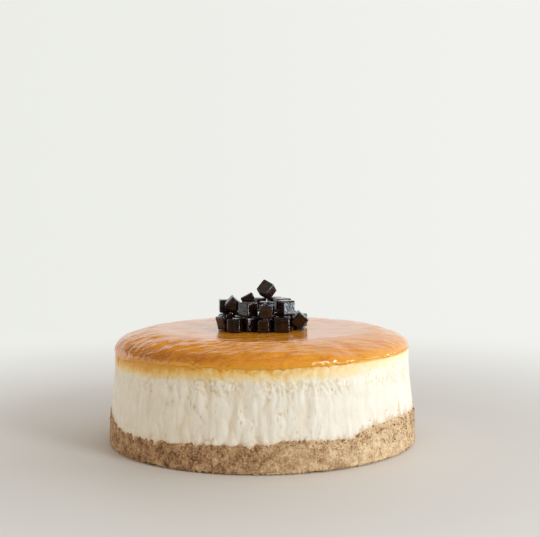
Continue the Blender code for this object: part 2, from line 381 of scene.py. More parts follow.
class Tree:
    """A node tree written as expressions."""

    def __init__(self, nodes: bpy.types.NodeTree) -> None:
        """Wraps the tree of a material or a world."""
        self.tree = nodes

    def feed(self, socket: bpy.types.NodeSocket, value: object) -> None:
        """Links a Value to a socket, or sets a number, a vector or a colour on it.

        Args:
            socket: The input.
            value: What it gets.
        """
        if isinstance(value, Value):
            self.tree.links.new(value.socket, socket)
        elif isinstance(value, tuple) and socket.type == "RGBA":
            socket.default_value = (*value, 1.0)
        else:
            socket.default_value = value

    def node(
        self, kind: str, settings: dict[str, object], inputs: dict[int | str, object], output: int | str = 0
    ) -> Value:
        """Adds a node.

        Args:
            kind: The node's type.
            settings: What is set on it first. "stops" is a ramp's list of position and colour.
            inputs: The values or links of its sockets.
            output: Which output comes back.

        Returns:
            That output.
        """
        made = self.tree.nodes.new(kind)
        for name, value in settings.items():
            if name == "stops":
                self._set_stops(made.color_ramp, value)
            else:
                setattr(made, name, value)
        for name, value in inputs.items():
            self.feed(made.inputs[name], value)
        return Value(self, made.outputs[output])

    @staticmethod
    def _set_stops(ramp: bpy.types.ColorRamp, stops: list[tuple[float, Colour]]) -> None:
        """Gives a ramp its stops."""
        while len(ramp.elements) > len(stops):
            ramp.elements.remove(ramp.elements[-1])
        while len(ramp.elements) < len(stops):
            ramp.elements.new(1.0)
        for element, (position, colour) in zip(ramp.elements, stops):
            element.position = position
            element.color = (*colour, 1.0)

    def mark(self, name: str) -> Value:
        """A mark that the mesh carries."""
        return self.node("ShaderNodeAttribute", {"attribute_name": name}, {}, "Fac")

    def ray(self, kind: str) -> Value:
        """1 for rays of a kind, such as "Is Camera Ray", and 0 for the others."""
        return self.node("ShaderNodeLightPath", {}, {}, kind)

    def place(self, size: Colour, turn: float = 0.0) -> Value:
        """Object coordinates, turned about the upright and divided by the sizes of a pattern.

        Args:
            size: The pattern's size along each axis.
            turn: How far the pattern is turned, in radians.

        Returns:
            The coordinates.
        """
        spot = self.node("ShaderNodeTexCoord", {}, {}, "Object")
        settings = {"vector_type": "POINT"}
        turned = self.node("ShaderNodeMapping", settings, {"Vector": spot, "Rotation": (0.0, 0.0, -turn)})
        shares = tuple(1.0 / length for length in size)
        return self.node("ShaderNodeVectorMath", {"operation": "MULTIPLY"}, {0: turned, 1: shares})

    def noise(self, size: Colour | float, detail: float = 3.0, turn: float = 0.0) -> Value:
        """Noise of 0 to 1 with lumps of that size.

        Args:
            size: The lumps' size, one for all or one for each axis.
            detail: How many finer layers it has.
            turn: How far it is turned about the upright, in radians.

        Returns:
            The noise.
        """
        sizes = size if isinstance(size, tuple) else (size, size, size)
        inputs = {"Vector": self.place(sizes, turn), "Scale": 1.0, "Detail": detail, "Roughness": 0.55}
        return self.node("ShaderNodeTexNoise", {}, inputs, 0)

    def grains(self, size: float) -> Value:
        """One random value of 0 to 1 for each grain of that size."""
        inputs = {"Vector": self.place((size, size, size)), "Scale": 1.0, "Randomness": 1.0}
        colour = self.node("ShaderNodeTexVoronoi", {"feature": "F1"}, inputs, "Color")
        return self.node("ShaderNodeSeparateColor", {}, {0: colour}, 0)

    def mix(self, share: Value | float, first: Value | Colour, second: Value | Colour) -> Value:
        """A colour between two."""
        return self.node("ShaderNodeMix", {"data_type": "RGBA"}, {0: share, 6: first, 7: second}, 2)

    def ramp(self, value: Value, stops: list[tuple[float, Colour]]) -> Value:
        """A colour looked up along stops."""
        return self.node("ShaderNodeValToRGB", {"stops": stops}, {0: value})

    def bump(self, height: Value, depth: float, before: Value | None = None) -> Value:
        """A normal for fine relief.

        Args:
            height: The relief, 0 to 1.
            depth: What 1 stands for.
            before: A bump that this one goes over.

        Returns:
            The normal.
        """
        inputs: dict[int | str, object] = {"Height": height, "Distance": depth, "Strength": 1.0}
        if before is not None:
            inputs["Normal"] = before
        return self.node("ShaderNodeBump", {}, inputs)


def new_finish(name: str) -> tuple[bpy.types.Material, Tree, bpy.types.ShaderNode]:
    """An empty finish.

    Args:
        name: What it is called.

    Returns:
        The material, its tree and its Principled shader.
    """
    made = bpy.data.materials.new(name)
    made.use_nodes = True
    return made, Tree(made.node_tree), made.node_tree.nodes["Principled BSDF"]


@dataclass(frozen=True)
class CreamFinish:
    """Set baked cream: pale, streaked upright, turning yellow under the browned top."""

    pale: Colour = (0.90, 0.858, 0.755)
    shade: Colour = (0.80, 0.735, 0.585)
    tan: Colour = (0.70, 0.52, 0.32)
    ochre: Colour = (0.73, 0.54, 0.25)
    ripening: tuple[tuple[float, Colour], ...] = (
        (0.12, (0.92, 0.812, 0.60)),
        (0.32, (0.935, 0.735, 0.40)),
        (0.62, (0.89, 0.595, 0.215)),
        (0.86, (0.82, 0.47, 0.08)),
        (1.0, (0.76, 0.35, 0.025)),
    )
    roughness: float = 0.52
    streak_depth: float = 0.07 * MM
    scratch_depth: float = 0.11 * MM
    grain_depth: float = 0.10 * MM

    def build(self) -> bpy.types.Material:
        """Makes the material.

        Returns:
            The material. It reads three marks: how ripe the cream is, crumb smears, and ochre pores and nicks
                with painted shade in the valleys between nubs and folds.
        """
        made, tree, shader = new_finish("set_cream")
        streak = tree.noise((1.6 * MM, 1.6 * MM, 18.0 * MM), 3.0)
        patch = tree.noise(9.0 * MM, 2.0)
        grain = tree.noise(0.7 * MM, 2.0)
        scratch = tree.noise((0.9 * MM, 0.9 * MM, 4.5 * MM), 3.0)
        body = tree.mix((streak * 0.35 + patch * 0.65).smooth(0.60, 0.34) * 0.6, self.pale, self.shade)
        ripe = (tree.mark("ripe") + (grain - 0.5) * 0.22).most(0.0)
        aged = tree.mix(ripe.smooth(0.02, 0.2), body, tree.ramp(ripe, [(0.0, self.pale), *self.ripening]))
        # Ochre in pores and nicks, and painted shade in the valleys between nubs and folds.
        pitted_and_shaded = tree.mix((tree.mark("pit") * 0.8).least(0.75), aged, self.ochre)
        smear = tree.mark("smear") + (grain - 0.5) * 0.5
        colour = tree.mix(smear.smooth(0.05, 1.0) * 0.8, pitted_and_shaded, self.tan)
        fine = tree.bump(scratch, self.scratch_depth, tree.bump(grain, self.grain_depth))
        tree.feed(shader.inputs["Base Color"], colour)
        tree.feed(shader.inputs["Normal"], tree.bump(streak, self.streak_depth, fine))
        shader.inputs["Roughness"].default_value = self.roughness
        return made


@dataclass(frozen=True)
class CrumbFinish:
    """Pressed biscuit crumb: tan grains of many tones, with painted shade in the hollows."""

    dark: Colour = (0.14, 0.058, 0.024)
    brown: Colour = (0.35, 0.188, 0.088)
    tan: Colour = (0.55, 0.355, 0.185)
    light: Colour = (0.83, 0.635, 0.39)
    roughness: float = 0.78
    grain_depth: float = 0.34 * MM

    def build(self) -> bpy.types.Material:
        """Makes the material.

        Returns:
            The material. It reads two marks: a tone, and how deep in the hollows between lumps a point lies,
                for painted shade.
        """
        made, tree, shader = new_finish("baked_crumb")
        patch = tree.noise(5.0 * MM, 4.0)
        grain = tree.grains(0.75 * MM)
        dust = tree.noise(0.8 * MM, 2.0)
        speck = tree.noise(1.5 * MM, 2.0).smooth(0.60, 0.72)
        tone = tree.mark("tone") * 0.42 + grain * 0.26 + (patch - 0.5) * 1.15 + (dust - 0.5) * 0.8 + 0.105
        # Painted shade: the tone is lowered in the hollows between lumps, and darkened at random specks.
        lit = tone - tree.mark("hollow") * 0.27 - speck * 0.22
        stops = [(0.0, self.dark), (0.22, self.brown), (0.50, self.tan), (0.95, self.light)]
        tree.feed(shader.inputs["Base Color"], tree.ramp(lit, stops))
        tree.feed(shader.inputs["Normal"], tree.bump(tree.noise(0.7 * MM, 4.0), self.grain_depth))
        shader.inputs["Roughness"].default_value = self.roughness
        return made


@dataclass(frozen=True)
class GlazeFinish:
    """The browned skin under a thin clear glaze: amber, mottled, brushed in long strokes."""

    amber: Colour = (0.74, 0.255, 0.019)
    gold: Colour = (0.88, 0.37, 0.030)
    brown: Colour = (0.42, 0.135, 0.012)
    run: Colour = (0.78, 0.345, 0.018)
    roughness: float = 0.035
    refraction: float = 1.52
    stroke_depth: float = 0.20 * MM
    speck_depth: float = 0.02 * MM

    def build(self) -> bpy.types.Material:
        """Makes the material.

        Returns:
            The material. It reads the marks thick and baked.
        """
        made, tree, shader = new_finish("browned_glaze")
        stroke = tree.noise((13.0 * MM, 1.5 * MM, 1.5 * MM), 3.0, STROKE_TURN)
        patch = tree.noise(8.0 * MM, 4.0)
        speck = tree.noise(1.3 * MM, 3.0)
        depth = (patch - 0.5) * 1.1 + (speck - 0.5) * 1.1 + (stroke - 0.5) * 0.5
        base = tree.mix((depth + 0.5).smooth(0.2, 0.8), self.amber, self.gold)
        baked = (tree.mark("baked") + depth * 0.8).smooth(0.25, 0.95)
        colour = tree.mix(baked, base, self.brown)
        runny = (tree.mark("thick") + (speck - 0.5) * 0.5).smooth(0.15, 0.95)
        colour = tree.mix(runny, colour, self.run)
        tree.feed(shader.inputs["Base Color"], colour)
        low = tree.bump(stroke, self.stroke_depth)
        tree.feed(shader.inputs["Normal"], tree.bump(speck, self.speck_depth, low))
        shader.inputs["Roughness"].default_value = self.roughness
        shader.inputs["IOR"].default_value = self.refraction
        return made


@dataclass(frozen=True)
class JellyFinish:
    """Dark set jelly: near black, brown where light gets into it, wet and glossy."""

    black: Colour = (0.0065, 0.0032, 0.0028)
    brown: Colour = (0.046, 0.0130, 0.0070)
    sheen: Colour = (0.80, 0.92, 1.0)
    refraction: float = 1.56
    patch_depth: float = 0.34 * MM
    skin_depth: float = 0.10 * MM

    def build(self) -> bpy.types.Material:
        """Makes the material.

        Returns:
            The material. It reads no marks.
        """
        made, tree, shader = new_finish("dark_jelly")
        patch = tree.noise(3.2 * MM, 3.0)
        skin = tree.noise(1.1 * MM, 3.0)
        share = (patch * 0.8 + (skin - 0.5) * 1.2).smooth(0.25, 0.75)
        tree.feed(shader.inputs["Base Color"], tree.mix(share, self.black, self.brown))
        tree.feed(shader.inputs["Roughness"], skin * 0.12 + 0.01)
        fine = tree.bump(skin, self.skin_depth)
        tree.feed(shader.inputs["Normal"], tree.bump(patch, self.patch_depth, fine))
        shader.inputs["IOR"].default_value = self.refraction
        shader.inputs["Specular Tint"].default_value = (*self.sheen, 1.0)
        return made


class Region(Enum):
    """Which side of the cake a feature belongs to, in degrees from the front."""

    LEFT = -45.0
    FRONT = -15.0
    RIGHT = 40.0
    BACK = 170.0


def near_angle(angle: np.ndarray, middle: float, half_width: float) -> np.ndarray:
    """1 at an angle and 0 from half_width away on, the short way round.

    Args:
        angle: Angles from the front, in radians.
        middle: Where it is 1, in degrees.
        half_width: How far from there it has died away, in degrees.

    Returns:
        The share.
    """
    return 1.0 - smooth_step(0.0, math.radians(half_width), np.abs(way_round(angle, middle)))


def near_height(height: np.ndarray, middle: float, half_width: float) -> np.ndarray:
    """1 at a height and 0 from half_width away on."""
    return 1.0 - smooth_step(0.0, half_width, np.abs(height - middle))


class LayerLine:
    """The line between crumb base and filling, read off the crumb base's solid."""

    def __init__(self, node: bpy.types.Object, inner: float = 72.0 * MM, columns: int = 168) -> None:
        """Takes the highest point of the side in every column.

        Args:
            node: The crumb base's solid.
            inner: Points nearer to the axis are left out.
            columns: How many columns the solid has.
        """
        places = np.empty(len(node.data.vertices) * 3, np.float32)
        node.data.vertices.foreach_get("co", places)
        places = places.reshape(-1, 3).astype(float)
        side = places[np.hypot(places[:, 0], places[:, 1]) > inner]
        column = np.round(np.arctan2(side[:, 0], -side[:, 1]) / TURN * columns).astype(int) % columns
        self.heights = np.zeros(columns)
        np.maximum.at(self.heights, column, side[:, 2])
        self.angles = column_angles(columns)

    def at(self, angle: np.ndarray) -> np.ndarray:
        """The line's height at angles from the front."""
        return np.interp(angle % TURN, self.angles, self.heights, period=TURN) + 0.15 * MM


def hidden_rings(form: CakeForm, line: np.ndarray, angle: np.ndarray, lift: float) -> list[np.ndarray]:
    """The two rings of a layer's face that the other layer hides, the outer one first.

    Args:
        form: The cake's form.
        line: Heights of the layer line, one to an angle.
        angle: The columns' angles.
        lift: How far over the line the rings lie.

    Returns:
        The rings, of shape (1, columns, 3).
    """
    places = ((0.90, line), (0.78, PLAIN_HEIGHT))
    return [round_axis(share * form.foot_radius, height + lift, angle)[None] for share, height in places]


@dataclass
class CrumbBase:
    """The pressed crumb base, its rough side and the crumbs that stand out of it."""

    form: CakeForm
    line: LayerLine
    columns: int = 1080
    side_rows: int = 36
    overlap: float = 1.3 * MM
    crumbs: int = 4200
    strays: int = 90
    foot_crumbs: int = 640
    flakes: int = 26
    crumb_margin: float = 0.08 * MM
    least_sunk: float = 0.07 * MM
    noise: Noise = field(default_factory=lambda: Noise(5))

    def lumps(self, angle: np.ndarray, height: np.ndarray) -> tuple[np.ndarray, np.ndarray, np.ndarray]:
        """The side: the form's radius, less slow dents, less the gaps between lumps of two sizes.

        A lump stands out by its seed's nearness, so the surface is a heap of rounded grains.

        Args:
            angle: Angles from the front.
            height: Heights over the underside.

        Returns:
            The radius, a tone for each lump that is random but painted lighter on the lit right and darker at
            the front left, and how deep in the hollows it lies, for painted shade there.
        """
        spots = round_axis(self.form.side_radius(height), height, angle)
        slow = self.noise.smooth(spots, 7.0 * MM)
        far, tone = self.noise.cells(spots, 2.3 * MM)
        near, fleck = self.noise.cells(spots + 0.05, 1.0 * MM)
        grain = self.noise.smooth(spots, 0.7 * MM)
        sunk = 0.26 + 0.22 * slow + 0.30 * (far - 0.45) + 0.30 * (near - 0.45) + 0.22 * grain
        sunk = np.maximum(sunk, self.least_sunk / MM)
        # Painted shade: how deep in the hollows a point lies, to darken its colour there.
        hollow = smooth_step(0.38, 0.85, sunk)
        radius = self.form.side_radius(height) - sunk * MM
        # Painted light and shade: the tone is raised on the lit right side and lowered at the front left.
        painted_side_light = 0.82 * near_angle(angle, 48.0, 60.0)
        painted_side_light = painted_side_light - 0.30 * near_angle(angle, -24.0, 56.0)
        return radius, 0.55 * tone + 0.45 * fleck + painted_side_light, hollow

    def surface(self) -> Surface:
        """The closed skin: underside, chamfered foot, lumpy side, and a plain face under the filling."""
        angle = column_angles(self.columns)
        line = self.line.at(angle)
        share = np.linspace(0.0, 1.0, self.side_rows)[:, None]
        height = share * (line + self.overlap)[None, :]
        turned = np.broadcast_to(angle, height.shape)
        radius, tone, hollow = self.lumps(turned, height)
        ragged = self.noise.smooth(round_axis(70.0 * MM, 0.0, angle), 2.2 * MM)
        chamfer = (1.05 + 0.7 * ragged[None, :]) * MM
        radius = radius - 2.2 * np.maximum(chamfer - height, 0.0)
        past = np.maximum(height - (line - 0.4 * MM)[None, :], 0.0) / (self.overlap + 0.4 * MM)
        radius = radius - 1.3 * MM * past**1.6
        under = round_axis(0.6 * self.form.foot_radius, 0.0, angle)[None]
        rings = [under, round_axis(radius, height, turned)]
        rings += hidden_rings(self.form, line, angle, -LAYER_GAP)
        plain = np.full((1, self.columns), 0.5)
        marks = {
            "tone": np.concatenate([plain, tone, plain, plain]),
            "hollow": np.concatenate([plain * 0.0, hollow, plain * 0.0, plain * 0.0]),
        }
        return turned_surface(np.concatenate(rings), 0.0, PLAIN_HEIGHT - LAYER_GAP, marks)

    def scattered(self) -> Surface:
        """Crumbs half sunk in the side, a few on the cream above and flakes at the foot.

        Each crumb is one rough ball of twenty faces: its corners are moved in and out at random, then it is
        stretched, turned and put down.

        Returns:
            All of them as one surface.
        """
        draw = np.random.default_rng(23)
        count = self.crumbs + self.strays + self.foot_crumbs
        angle = draw.random(count) * TURN
        size = (0.28 + 0.55 * draw.random(count) ** 2.5) * MM
        line = self.line.at(angle)
        height = 0.35 * MM + draw.random(count) * (line - 0.1 * MM)
        rank = np.arange(count)
        above = (rank >= self.crumbs) & (rank < self.crumbs + self.strays)
        foot = rank >= self.crumbs + self.strays
        height = np.where(above, line + draw.random(count) ** 1.8 * 6.0 * MM, height)
        height = np.where(foot, draw.uniform(0.5, 1.3, count) * MM, height)
        size = np.where(above, size * 0.6, size * np.where(foot, 1.1, 1.0))
        flake = rank >= count - self.flakes
        angle = np.where(flake, np.radians(draw.uniform(1.0, 13.0, count)), angle)
        size = np.where(flake, draw.uniform(0.55, 0.95, count) * MM, size)
        radius = self.lumps(angle, height)[0]
        radius = np.where(above, self.form.side_radius(height) - 0.18 * MM, radius)
        widest = self.form.foot_radius - self.crumb_margin
        out = np.where(foot, draw.uniform(0.0, 0.6, count), draw.uniform(-0.35, 0.30, count))
        radius = np.minimum(radius + size * out, widest - BALL_REACH * size)
        middle = round_axis(radius, np.maximum(height, BALL_REACH * size), angle)
        tone = np.where(foot, draw.uniform(0.9, 1.9, count) + 0.5 * flake, draw.random(count) + 0.5 * above)
        return ball_heap(middle, size, draw, tone)

    def build(self, finish: bpy.types.Material) -> list[bpy.types.Object]:
        """Makes the base and its crumbs.

        Args:
            finish: The crumb finish.

        Returns:
            Both pieces. The first one stands for the solid.
        """
        base = self.surface().make("pressed_crumb", finish)
        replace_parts(base, "crumb_base")
        return [base, self.scattered().make("crumb_grains", finish)]


def ball_heap(middle: np.ndarray, size: np.ndarray, draw: np.random.Generator, tone: np.ndarray) -> Surface:
    """Rough balls: a twenty-faced ball's corners, moved in and out, stretched, turned and put down.

    Args:
        middle: Where each ball is, of shape (count, 3).
        size: Each ball's radius.
        draw: Where the random numbers come from.
        tone: A mark for each ball.

    Returns:
        All the balls as one surface.
    """
    corners, faces = twenty_faced_ball()
    count = len(middle)
    rough = corners[None] * draw.uniform(0.72, BALL_REACH, (count, len(corners), 1))
    rough = rough * draw.uniform(0.65, 1.0, (count, 1, 3))
    axes = np.linalg.qr(draw.normal(size=(count, 3, 3)))[0]
    axes[:, :, 0] *= np.sign(np.linalg.det(axes))[:, None]
    placed = np.einsum("nij,nkj->nki", axes, rough) * size[:, None, None] + middle[:, None, :]
    index = faces[None] + (np.arange(count) * len(corners))[:, None, None]
    marks = {"tone": np.repeat(tone, len(corners)), "hollow": np.zeros(count * len(corners))}
    return Surface(placed.reshape(-1, 3), np.empty((0, 4), int), index.reshape(-1, 3), marks)


def twenty_faced_ball() -> tuple[np.ndarray, np.ndarray]:
    """The twelve corners and twenty faces of a ball of radius 1.

    The corners are (0, +-1, +-g) and its turns, with g the golden ratio. Three corners that are two apart
    make a face.

    Returns:
        Corners and faces, faced outwards.
    """
    golden = (1.0 + math.sqrt(5.0)) / 2.0
    signs = np.array([(a, b) for a in (-1.0, 1.0) for b in (-1.0, 1.0)])
    flat = np.stack([np.zeros(4), signs[:, 0], signs[:, 1] * golden], axis=1)
    corners = np.concatenate([flat, np.roll(flat, 1, axis=1), np.roll(flat, 2, axis=1)])
    apart = np.linalg.norm(corners[:, None] - corners[None], axis=-1)
    near = np.abs(apart - 2.0) < 0.01
    i, j, k = np.meshgrid(*[np.arange(12)] * 3, indexing="ij")
    touch = near[i, j] & near[j, k] & near[i, k] & (i < j) & (j < k)
    faces = np.stack([i[touch], j[touch], k[touch]], axis=1)
    a, b, c = corners[faces[:, 0]], corners[faces[:, 1]], corners[faces[:, 2]]
    inward = np.sum(np.cross(b - a, c - a) * a, axis=1) < 0.0
    faces[inward] = faces[inward][:, [0, 2, 1]]
    return corners / np.linalg.norm(corners[0]), faces


@dataclass(frozen=True)
class Nick:
    """A crack or pit in the cream's side: its angle in degrees and its other measures in metres."""

    angle: float
    height: float
    length: float
    width: float
    depth: float

    def share(self, angle: np.ndarray, height: np.ndarray, radius: float) -> np.ndarray:
        """1 in the nick's middle, falling to 0 at its oval edge.

        Args:
            angle: Angles from the front.
            height: Heights over the underside.
            radius: The cake's radius there.

        Returns:
            The share.
        """
        across = way_round(angle, self.angle) * radius / (0.5 * self.width)
        along = (height - self.height) / (0.5 * self.length)
        return np.clip(1.0 - across**2 - along**2, 0.0, 1.0)


@dataclass
class Cream:
    """The set filling: a scraped side with folds, pores and nicks, a yellow band and a glazed top."""

    form: CakeForm
    line: LayerLine
    lip: GlazeLip
    columns: int = 1080
    side_rows: int = 70
    overlap: float = 1.6 * MM
    skin: float = 0.40 * MM
    swell_height: float = 42.8 * MM
    swell_reach: float = 3.4 * MM
    noise: Noise = field(default_factory=lambda: Noise(8))
    band_front: Readings = (
        (-62, 39.4), (-42, 40.0), (-28, 40.9), (-17, 40.9), (-6, 40.5), (4, 40.0),
        (14, 40.1), (25, 39.6), (38, 39.4), (55, 39.4), (69, 38.6),
    )
    band_back: Readings = ((130, 40.2), (180, 39.0), (230, 40.6))
    nicks: tuple[Nick, ...] = (
        Nick(3.0, 32.0 * MM, 5.0 * MM, 1.2 * MM, 0.22 * MM),
        Nick(11.6, 33.6 * MM, 5.0 * MM, 1.4 * MM, 0.22 * MM),
        Nick(9.9, 27.4 * MM, 3.0 * MM, 0.8 * MM, 0.30 * MM),
        Nick(-50.1, 26.4 * MM, 0.9 * MM, 0.7 * MM, 0.7 * MM),
        Nick(-17.5, 32.2 * MM, 3.4 * MM, 0.6 * MM, 0.5 * MM),
        Nick(6.3, 24.0 * MM, 2.6 * MM, 0.5 * MM, 0.4 * MM),
        Nick(-24.0, 30.0 * MM, 4.0 * MM, 0.6 * MM, 0.4 * MM),
        Nick(163.0, 30.0 * MM, 4.0 * MM, 0.7 * MM, 0.7 * MM),
        Nick(205.0, 25.0 * MM, 3.0 * MM, 0.6 * MM, 0.6 * MM),
        Nick(118.0, 33.0 * MM, 3.2 * MM, 0.6 * MM, 0.5 * MM),
    )

    def band_line(self, angle: np.ndarray) -> np.ndarray:
        """Lower edge of the yellow band: read off the photo at the front, made up at the back."""
        return joined_readings(angle, self.band_front + self.band_back)

    def unrest(self, angle: np.ndarray) -> np.ndarray:
        """How strongly the side is scraped: most at the front left, least at the right."""
        front = near_angle(angle, Region.FRONT.value, 74.0)
        back = near_angle(angle, Region.BACK.value, 80.0)
        return 0.30 + 0.70 * np.maximum(front, 0.8 * back)

    def nubbly(self, angle: np.ndarray, height: np.ndarray) -> np.ndarray:
        """Where the side is nubbly, 0 to 1: under the band and over the crumb, most at the front left."""
        unrest = self.unrest(angle)
        patch = 0.5 + 0.9 * self.noise.smooth(round_axis(75.0 * MM, height, angle) + 0.2, 9.0 * MM)
        under = (self.band_line(angle) - height) / MM
        high = smooth_step(-1.2, 0.8, under) * (1.0 - smooth_step(3.0, 9.5, under))
        over = (height - self.line.at(angle)) / MM
        low = 1.0 - smooth_step(0.5, 5.5, over)
        return np.clip((1.5 * high + 1.25 * low) * patch, 0.0, 1.0) * (0.22 + 0.78 * unrest)

    def relief(self, angle: np.ndarray, height: np.ndarray) -> tuple[np.ndarray, np.ndarray]:
        """How far the side stands out: upright streaks, folds, nubs, pores and nicks, and the band's swell.

        Streaks are noise drawn out upright, its place drifting sideways with height. Folds are lobes at the
        seeds of tall cells. Nubs stand at the seeds of two sizes of small cells, and pores at the seeds with
        the highest values.

        Args:
            angle: Angles from the front.
            height: Heights over the underside.

        Returns:
            The relief, and a mark of 0 to 1: how deep in a pore or nick it is, with painted shade in the
                valleys between nubs and folds.
        """
        spots = round_axis(self.form.side_radius(height), height, angle)
        unrest = self.unrest(angle)
        under = 1.0 - smooth_step(-3.0 * MM, 1.5 * MM, height - self.band_line(angle))
        drift = 1.5 * MM * self.noise.smooth(spots + 0.9, 8.0 * MM)
        bent = round_axis(self.form.side_radius(height), height, angle + drift / self.form.shoulder_radius)
        streak = self.noise.smooth(bent, (1.9 * MM, 1.9 * MM, 17.0 * MM))
        broad = self.noise.smooth(bent + 0.3, (4.6 * MM, 4.6 * MM, 22.0 * MM))
        lobe, _ = self.noise.cells(bent + 0.7, (4.4 * MM, 4.4 * MM, 11.0 * MM))
        grain = self.noise.smooth(spots, 0.8 * MM)
        folded = np.maximum(unrest - 0.35, 0.0)
        out = (0.03 + 0.07 * unrest) * streak + (0.08 + 0.54 * unrest) * broad + 2.0 * (0.45 - lobe) * folded
        out = out * (0.25 + 0.75 * under) + 0.02 * grain
        zone = self.nubbly(angle, height)
        apart, _ = self.noise.cells(spots, (1.7 * MM, 1.7 * MM, 2.0 * MM))
        fine_apart, _ = self.noise.cells(spots + 0.4, (0.95 * MM, 0.95 * MM, 1.2 * MM))
        out = out + zone * (0.80 * (0.5 - apart) + 0.50 * (0.5 - fine_apart))
        pore_apart, value = self.noise.cells(bent + 0.2, (1.4 * MM, 1.4 * MM, 3.0 * MM))
        over = value - (1.0 - (0.03 + 0.25 * unrest) * under - 0.30 * zone)
        pore = np.clip(1.0 - (pore_apart / 0.38) ** 2, 0.0, 1.0) * smooth_step(0.0, 0.30, over)
        out = out - 0.45 * pore
        # Painted shade: the valleys between nubs and between folds are marked for an ochre tint.
        valley_shade = smooth_step(0.50, 0.80, apart) * zone
        valley_shade = np.maximum(valley_shade, 0.5 * smooth_step(0.58, 0.80, lobe) * folded)
        nick = np.zeros_like(out)
        for mark in self.nicks:
            share = mark.share(angle, height, 74.5 * MM)
            out = out - share * mark.depth / MM
            nick = np.maximum(nick, share)
        out = out + 0.16 * near_height(height, self.swell_height, self.swell_reach)
        return out * MM, np.maximum(np.maximum(pore * 1.4, nick), 0.85 * valley_shade)

    def surface(self) -> Surface:
        """The closed skin: a hidden foot on the crumb, the scraped side, and a plain top under the glaze."""
        angle = column_angles(self.columns)
        line = self.line.at(angle)[None, :]
        share = np.linspace(0.0, 1.0, self.side_rows)[:, None]
        height = (line - self.overlap) + share * (self.form.shoulder_height + self.overlap - line)
        turned = np.broadcast_to(angle, height.shape)
        relief, pit = self.relief(turned, height)
        ragged = self.noise.smooth(round_axis(75.0 * MM, height, turned), (1.5 * MM, 1.5 * MM, 2.2 * MM))
        past = np.clip((line + (0.1 + 1.9 * ragged) * MM - height) / (2.0 * MM), 0.0, 1.6)
        radius = self.form.side_radius(height) - self.skin + relief - 1.5 * MM * past**1.5
        lip = self.lip.height(angle)[None, :]
        most = 0.1 * MM - 0.46 * MM * smooth_step(lip - 0.2 * MM, lip + 0.9 * MM, height)
        radius = np.minimum(radius, self.form.side_radius(height) + most)
        inner = hidden_rings(self.form, line[0], angle, 0.0)[::-1]
        outline = Outline(self.form)
        arcs = np.concatenate([np.linspace(0.7, 14.0, 8), [24.0, 45.0, 62.0]])[:, None] * MM
        depth = -0.36 * MM - 0.44 * MM * smooth_step(3.0 * MM, 7.0 * MM, arcs)
        top_r, top_z = outline.at(np.broadcast_to(arcs, (len(arcs), self.columns)), depth)
        rings = [*inner, round_axis(radius, height, turned), round_axis(top_r, top_z, angle[None])]
        marks = {
            "ripe": self._around(self.ripeness(turned, height), len(arcs), 1.0),
            "smear": self._around(self.smears(turned, height), len(arcs), 0.0),
            "pit": self._around(pit, len(arcs), 0.0),
        }
        crown = float(outline.at(outline.end)[1]) - 0.8 * MM
        return turned_surface(np.concatenate(rings), PLAIN_HEIGHT, crown, marks)

    def _around(self, side: np.ndarray, above: int, top: float) -> np.ndarray:
        """Adds the rings below and above the side to a mark."""
        below = np.zeros((2, self.columns))
        return np.concatenate([below, side, np.full((above, self.columns), top)])

    def ripeness(self, angle: np.ndarray, height: np.ndarray) -> np.ndarray:
        """How yellow the cream is: 0 under the band's uneven lower edge, 1 at the glaze's lip."""
        spots = round_axis(74.0 * MM, height, angle)
        wander = self.noise.smooth(spots, (2.4 * MM, 2.4 * MM, 3.0 * MM)) + self.noise.smooth(spots, 0.9 * MM)
        left = near_angle(angle, Region.LEFT.value, 50.0)
        lower = self.band_line(angle) - 1.5 * MM + 1.6 * MM * wander * (1.0 - 0.55 * left)
        share = np.clip((height - lower) / np.maximum(self.lip.height(angle) - lower, 1.0 * MM), 0.0, 1.0)
        apart, value = self.noise.cells(spots, (2.2 * MM, 2.2 * MM, 2.6 * MM))
        level = smooth_step(-6.0 * MM, -1.0 * MM, height - lower)
        fleck = np.where((value > 0.80) & (apart < 0.32), 0.30 * level, 0.0)
        right = near_angle(angle, 85.0, 100.0)
        mottle = 0.55 * self.noise.smooth(spots + 0.6, 2.6 * MM) + 0.30 * self.noise.smooth(spots, 1.2 * MM)
        mottle = np.maximum(0.84 + 0.52 * left + mottle * (1.0 - 0.7 * right - 0.5 * left), 0.2)
        return np.maximum(share ** (0.80 + 0.60 * right) * (1.0 - 0.70 * right) * mottle, fleck)

    def smears(self, angle: np.ndarray, height: np.ndarray) -> np.ndarray:
        """Crumb dragged up over the cream in upright licks, longest at the right."""
        spots = round_axis(75.0 * MM, height, angle)
        lick = self.noise.smooth(spots, (2.0 * MM, 2.0 * MM, 14.0 * MM))
        lick = lick + 0.3 * self.noise.smooth(spots, 1.1 * MM)
        reach = 0.5 + 4.6 * near_angle(angle, 58.0, 48.0)
        reach = reach + 2.4 * near_angle(angle, -78.0, 26.0)
        reach = reach + 2.4 * near_angle(angle, 200.0, 50.0)
        up = (height - self.line.at(angle)) / MM
        return smooth_step(-2.6, 2.6, reach * (0.45 + 1.1 * lick) - up)

    def build(self, finish: bpy.types.Material) -> bpy.types.Object:
        """Makes the filling, which stands for the solid."""
        made = self.surface().make("set_filling", finish)
        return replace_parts(made, "filling")


